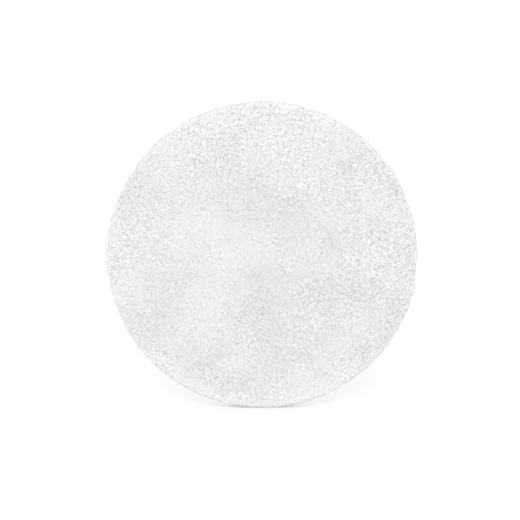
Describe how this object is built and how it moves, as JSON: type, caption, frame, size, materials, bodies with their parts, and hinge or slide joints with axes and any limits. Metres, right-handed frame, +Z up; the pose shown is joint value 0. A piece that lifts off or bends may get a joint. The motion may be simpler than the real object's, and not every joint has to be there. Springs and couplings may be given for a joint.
{
  "type": "felt polishing disc",
  "caption": "Round holeless felt disc with a napped face, laid scrim, adhesive tape backing and a split peel-off liner, for polishing on a flat lap.",
  "frame": {"origin": "middle of the disc, halfway through the stack from the napped face to the back of the liner", "axes": "+Y along the disc's axis from the napped face to the liner, +Z up as the disc stands on its edge, +X to the right seen from the front"},
  "size_m": [0.15, 0.0066, 0.15],
  "materials": {
    "napped_felt": "napped white felt, matte",
    "dense_felt": "dense white felt, matte",
    "scrim_yarn": "flat spun yarn",
    "adhesive": "tacky clear coat",
    "tape_film": "clear film",
    "liner_paper": "coated kraft paper, faint sheen"
  },
  "bodies": {
    "disc": {"face_felt": "napped_felt", "scrim_weft": "scrim_yarn", "scrim_warp": "scrim_yarn", "base_felt": "dense_felt", "felt_adhesive": "adhesive", "carrier_film": "tape_film", "lap_adhesive": "adhesive"},
    "left_half_liner": {"liner_left": "liner_paper"},
    "right_half_liner": {"liner_right": "liner_paper"}
  },
  "joints": [
    {"name": "left_peel", "type": "hinge", "parent": "disc", "child": "left_half_liner", "pos_m": [-0.075, 0.00305, 0], "axis": [0, 0, 1], "range_deg": [0, 165]},
    {"name": "right_peel", "type": "hinge", "parent": "disc", "child": "right_half_liner", "pos_m": [0.075, 0.00305, 0], "axis": [0, 0, -1], "range_deg": [0, 165]}
  ]
}
